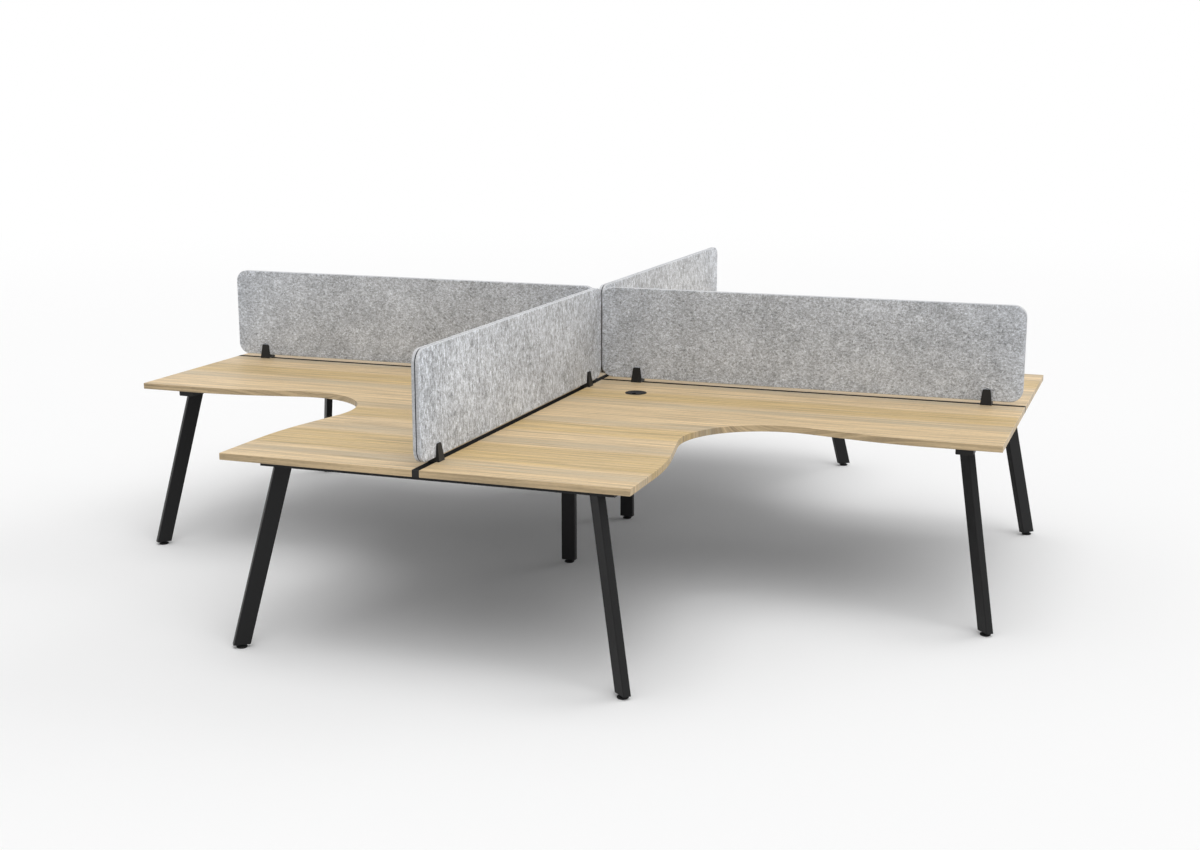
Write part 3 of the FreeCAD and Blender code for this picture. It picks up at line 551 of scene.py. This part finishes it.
def rounded_outline(width, height, inset):
    """Points of a rectangle with round corners about the origin, drawn in by an inset."""
    points = []
    for quarter, (right, up) in enumerate(((1, 1), (-1, 1), (-1, -1), (1, -1))):
        centre = Vector((right * (width / 2 - FELT_CORNER), up * (height / 2 - FELT_CORNER)))
        for step in range(FELT_CORNER_STEPS + 1):
            angle = math.radians(90) * (quarter + step / FELT_CORNER_STEPS)
            points.append(centre + Vector((math.cos(angle), math.sin(angle))) * (FELT_CORNER - inset))
    return points


def felt_profile(thickness):
    """Inset and depth from the outer face, from the face's rim over the rounded edge to the groove."""
    profile = [(FELT_RIM, 0.0)]
    for step in range(FELT_EDGE_STEPS + 1):
        angle = math.radians(90) * step / FELT_EDGE_STEPS
        profile.append((FELT_EDGE_ROUND * (1 - math.sin(angle)), FELT_EDGE_ROUND * (1 - math.cos(angle))))
    profile.append((0.0, thickness - FELT_INNER_CHAMFER))
    profile.append((FELT_INNER_CHAMFER, thickness))
    return profile


def felt_shell(length, height, thickness):
    """A panel about the origin with its outer face towards +Y, marked along its edges."""
    felt = bmesh.new()
    rim = felt.verts.layers.float.new(RIM)
    rings = []
    for inset, depth in felt_profile(thickness):
        ring = []
        for point in rounded_outline(length, height, inset):
            vertex = felt.verts.new((point.x, thickness / 2 - depth, point.y))
            vertex[rim] = 1.0 - min(1.0, inset / FELT_EDGE_ROUND)
            ring.append(vertex)
        rings.append(ring)
    bridge(felt, rings)
    felt.faces.new(rings[0])
    felt.faces.new(rings[-1])
    return felt


def cut_cells(felt, reach, axis):
    """Cut a panel square to an axis, into cells that can bend."""
    count = round(reach / FELT_CELL)
    for index in range(1, count):
        everything = felt.verts[:] + felt.edges[:] + felt.faces[:]
        bmesh.ops.bisect_plane(felt, geom=everything, plane_co=along(axis, reach * (index / count - 0.5)),
                               plane_no=along(axis, 1.0))


def felt_panel(node):
    """One pressed felt panel in the place of its solid, with soft edges and a slightly uneven face."""
    low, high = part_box(node)
    span = high - low
    middle = (low + high) / 2
    across = 1 if span.x > span.y else 0
    outward = 1.0 if middle[across] > 0 else -1.0
    length = span[1 - across]
    thickness = span[across]
    felt = felt_shell(length, span.z, thickness)
    cut_cells(felt, length, 0)
    cut_cells(felt, span.z, 2)
    turn = 0 if across == 1 else -90
    if outward < 0:
        turn += 180
    felt.transform(Matrix.Translation(middle) @ Matrix.Rotation(math.radians(turn), 4, "Z"))
    for vertex in felt.verts:
        share = outward * (vertex.co[across] - middle[across]) / thickness + 0.5
        dip = sum(part * (noise.noise(vertex.co / wave) + 1) / 2 for wave, part in FELT_WAVES)
        vertex.co[across] -= outward * share * FELT_UNEVENNESS * dip
    new_piece(node.replace("_felt_", "_panel_"), felt, "grey_felt", replaced=(node,))


for row in subparts:
    if row["material_slot"] == "grey_felt":
        felt_panel(row["node"])


# Weld beads

def even_points(corners, step):
    """Points at about equal distances along a closed line."""
    points = []
    for start, end in zip(corners, corners[1:] + corners[:1]):
        count = max(1, round((end - start).length / step))
        points += [start.lerp(end, index / count) for index in range(count)]
    return points


def add_bead(mesh_data, corners):
    """A rippled bead of weld along a closed line."""
    points = even_points(corners, BEAD_STEP)
    rings = []
    travelled = 0.0
    for index, point in enumerate(points):
        before = points[index - 1]
        after = points[(index + 1) % len(points)]
        travelled += (point - before).length
        ahead = (after - before).normalized()
        side = ahead.cross(Vector((0.0, 0.0, 1.0)))
        if side.length < NEARLY_UPRIGHT:
            side = ahead.cross(Vector((1.0, 0.0, 0.0)))
        side.normalize()
        up = side.cross(ahead)
        ripple = BEAD_RIPPLE * ((travelled / BEAD_RIPPLE_LENGTH) % 1.0 - 0.5)
        spatter = BEAD_SPATTER * noise.noise(point * BEAD_SPATTER_WAVES)
        radius = BEAD_RADIUS * (1 + ripple + spatter)
        ring = []
        for number in range(BEAD_SIDES):
            angle = 2 * math.pi * number / BEAD_SIDES
            offset = side * math.cos(angle) + up * math.sin(angle)
            ring.append(mesh_data.verts.new(point + offset * radius))
        rings.append(ring)
    bridge(mesh_data, rings, closed=True)


def top_outline(node):
    """Outline of a tube's upper end, read from its solid."""
    mesh = nodes[node].data
    top = max(vertex.co.z for vertex in mesh.vertices)
    ends = [vertex.co.copy() for vertex in mesh.vertices if top - vertex.co.z < SAME_LEVEL]
    order = geometry.convex_hull_2d([point.xy for point in ends])
    return [ends[index] for index in order]


def tube_outline(place, axis):
    """Outline of a beam where it meets its plate, square to the X or Y axis."""
    corners = []
    for across, down in ((-1, 0), (1, 0), (1, 1), (-1, 1)):
        corner = place + along(1 - axis, across * BEAM_WIDTH / 2)
        corner.z -= down * BEAM_HEIGHT
        corners.append(corner)
    return corners


def beam_ends(node):
    """Where a beam's tube meets its two end plates: the point above its middle, and the beam's axis."""
    low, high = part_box(node)
    axis = 0 if high.x - low.x > high.y - low.y else 1
    for plate in (low[axis] + PLATE_THICKNESS, high[axis] - PLATE_THICKNESS):
        yield along(axis, plate) + along(2, high.z), axis


for arm in ARMS:
    beads = bmesh.new()
    for name in nodes:
        if name.startswith((f"leg_{arm}_", f"post_{arm}")):
            add_bead(beads, top_outline(name))
    new_piece(f"welds_{arm}", beads, "black_powder_coat")

for name in BEAMS:
    beads = bmesh.new()
    for place, axis in beam_ends(name):
        add_bead(beads, tube_outline(place, axis))
    new_piece(f"welds_{name}", beads, "black_powder_coat")


# Screws and bolts

def islands(node):
    """Vertex places of each separate solid in a node."""
    solid = bmesh.new()
    solid.from_mesh(nodes[node].data)
    bmesh.ops.remove_doubles(solid, verts=solid.verts, dist=SAME_PLACE)
    reached = set()
    for start in solid.verts:
        if start in reached:
            continue
        reached.add(start)
        group = [start]
        # The group grows while it is walked through
        for vertex in group:
            for edge in vertex.link_edges:
                other = edge.other_vert(vertex)
                if other not in reached:
                    reached.add(other)
                    group.append(other)
        yield [vertex.co.copy() for vertex in group]
    solid.free()


def circle(mesh_data, radius, height, sides):
    ring = []
    for index in range(sides):
        angle = 2 * math.pi * index / sides
        ring.append(mesh_data.verts.new((radius * math.cos(angle), radius * math.sin(angle), height)))
    return ring


def add_shank(mesh_data, radius, length):
    """Plain shank that goes down from the head's seat to a narrower tip."""
    levels = ((radius, 0.0), (radius, radius * TIP_LENGTH - length), (radius * TIP_RADIUS, -length))
    rings = [circle(mesh_data, reach, level, ROUND_SIDES) for reach, level in levels]
    bridge(mesh_data, rings)
    mesh_data.faces.new(rings[-1])


def pan_head(radius):
    """Screw head with a cross recess; its seat is at the origin and its face looks up."""
    head = bmesh.new()
    rings = [circle(head, radius * share, SCREW_HEAD_HEIGHT * level, ROUND_SIDES)
             for share, level in SCREW_HEAD_PROFILE]
    bridge(head, rings)
    end = RECESS_LENGTH / 2
    side = RECESS_WIDTH / 2
    cross = ((end, side), (side, side), (side, end), (-side, end), (-side, side), (-end, side),
             (-end, -side), (-side, -side), (-side, -end), (side, -end), (side, -side), (end, -side))
    mouth = [head.verts.new((x, y, SCREW_HEAD_HEIGHT)) for x, y in cross]
    bottom = SCREW_HEAD_HEIGHT - RECESS_DEPTH
    floor = [head.verts.new((x * RECESS_TAPER, y * RECESS_TAPER, bottom)) for x, y in cross]
    bridge(head, [mouth, floor])
    head.faces.new(floor)
    face_edges = []
    for ring in (rings[-1], mouth):
        for first, second in zip(ring, ring[1:] + ring[:1]):
            face_edges.append(head.edges.get((first, second)))
    bmesh.ops.triangle_fill(head, use_beauty=True, edges=face_edges)
    return head


def hexagon_head(radius):
    """Bolt head with its corners chamfered; its seat is at the origin and its face looks up."""
    head = bmesh.new()
    seat = circle(head, radius, 0.0, HEXAGON_POINTS)
    shoulder = circle(head, radius, BOLT_HEAD_HEIGHT, HEXAGON_POINTS)
    face = circle(head, radius * BOLT_FACE_SHARE, BOLT_HEAD_HEIGHT, HEXAGON_POINTS)
    for index in range(HEXAGON_POINTS):
        if index % 2:
            for ring in (seat, shoulder):
                ring[index].co.xy *= HEXAGON_FLAT_SHARE
        else:
            shoulder[index].co.z -= BOLT_HEAD_CHAMFER
    bridge(head, [seat, shoulder, face])
    head.faces.new(face)
    return head


def crowded_side(points, middle, axis, reach):
    """1 or -1: the side along the axis to which the points beyond a reach from the middle lean.

    A tie gives -1. A head with fewer points than the tip, as a hexagon has, comes out on the tip's side.
    """
    far = [point for point in points if (point - middle).length > reach]
    return 1.0 if sum(point[axis] - middle[axis] for point in far) > 0 else -1.0


def fasteners(name, node, make_head, head_height, shank_radius):
    """Put a detailed fastener in the place of each plain one in a node."""
    copied = bpy.data.meshes.new(name)
    joined = bmesh.new()
    for points in islands(node):
        low = Vector([min(point[axis] for point in points) for axis in range(3)])
        high = Vector([max(point[axis] for point in points) for axis in range(3)])
        span = high - low
        middle = (low + high) / 2
        axis = max(range(3), key=lambda index: span[index])
        radius = max(span[(axis + 1) % 3], span[(axis + 2) % 3]) / 2
        outward = crowded_side(points, middle, axis, span[axis] / 2)
        seat = middle + along(axis, outward * (span[axis] / 2 - head_height))
        turn = along(axis, outward).to_track_quat("Z", "Y").to_matrix().to_4x4()
        piece = make_head(radius)
        add_shank(piece, shank_radius, span[axis] - head_height)
        piece.transform(Matrix.Translation(seat) @ turn)
        piece.to_mesh(copied)
        piece.free()
        joined.from_mesh(copied)
    bpy.data.meshes.remove(copied)
    made = new_piece(name, joined, "zinc_steel", replaced=(node,))
    made.data.shade_flat()


fasteners("pan_head_screws", "worktop_screws", pan_head, SCREW_HEAD_HEIGHT, SCREW_SHANK_RADIUS)
fasteners("hexagon_bolts", "frame_bolts", hexagon_head, BOLT_HEAD_HEIGHT, BOLT_SHANK_RADIUS)


# Floor, light and camera

def add_floor():
    """A pale disc that takes the shadows, fades to white far away and is clear from below."""
    ground = Finish("floor_finish")
    place = ground.place()
    away = ground.node("ShaderNodeVectorMath", {0: place}, operation="LENGTH").outputs["Value"]
    seen = ground.node("ShaderNodeLightPath").outputs["Is Camera Ray"]
    below = ground.node("ShaderNodeNewGeometry").outputs["Backfacing"]
    colour = ground.mix(ground.noise(place, FLOOR_PATCHES), FLOOR_DARK, FLOOR_LIGHT)
    paint = ground.node("ShaderNodeBsdfDiffuse", {"Color": colour}).outputs["BSDF"]
    glow = ground.node("ShaderNodeEmission", {"Color": WHITE, "Strength": 1.0}).outputs["Emission"]
    clear = ground.node("ShaderNodeBsdfTransparent").outputs["BSDF"]
    fade = ground.times(ground.remap(away, FLOOR_FADE, smooth=True), seen)
    finish = ground.end(ground.blend(below, ground.blend(fade, paint, glow), clear))
    disc = bmesh.new()
    bmesh.ops.create_circle(disc, cap_ends=True, segments=FLOOR_SIDES, radius=FLOOR_RADIUS)
    floor = add_object("floor", mesh_of("floor", disc, finish))
    floor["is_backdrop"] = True


def add_light():
    """A dome that looks white to camera, gloss and glass but lights the object less, and soft lamps."""
    world = bpy.data.worlds.new("studio")
    bpy.context.scene.world = world
    world.use_nodes = True
    dome = Graph(world.node_tree)
    ray = dome.node("ShaderNodeLightPath").outputs
    straight = dome.math("MAXIMUM", ray["Is Camera Ray"], ray["Is Glossy Ray"])
    seen = dome.math("MAXIMUM", straight, ray["Is Transmission Ray"])
    strength = dome.remap(seen, (0.0, 1.0), DOME_STRENGTH)
    background = dome.node("ShaderNodeBackground", {"Color": WHITE, "Strength": strength})
    dome.node("ShaderNodeOutputWorld", {"Surface": background.outputs["Background"]})
    for name, energy, elevation, heading in LAMPS:
        lamp = bpy.data.lights.new(name, "SUN")
        lamp.energy = energy
        lamp.angle = math.radians(LAMP_SPREAD)
        soft = add_object(name, lamp)
        soft.rotation_euler = (0.0, math.radians(90 - elevation), math.radians(heading))


def add_camera():
    lens = bpy.data.cameras.new("camera")
    lens.sensor_width = SENSOR_WIDTH
    lens.lens = FOCAL_PIXELS * SENSOR_WIDTH / PHOTO_WIDTH
    lens.clip_end = CAMERA_REACH
    camera = add_object("camera", lens)
    camera.location = CAMERA_PLACE
    camera.rotation_euler = (math.radians(90 - CAMERA_TILT), 0.0, math.radians(CAMERA_TURN))
    bpy.context.scene.camera = camera


add_floor()
add_light()
add_camera()
bpy.context.scene.view_settings.view_transform = "Standard"

bpy.context.view_layer.update()
boxes = {"cad": cad_box, "visual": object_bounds()}
{name: [list(corner) for corner in box] for name, box in boxes.items()}
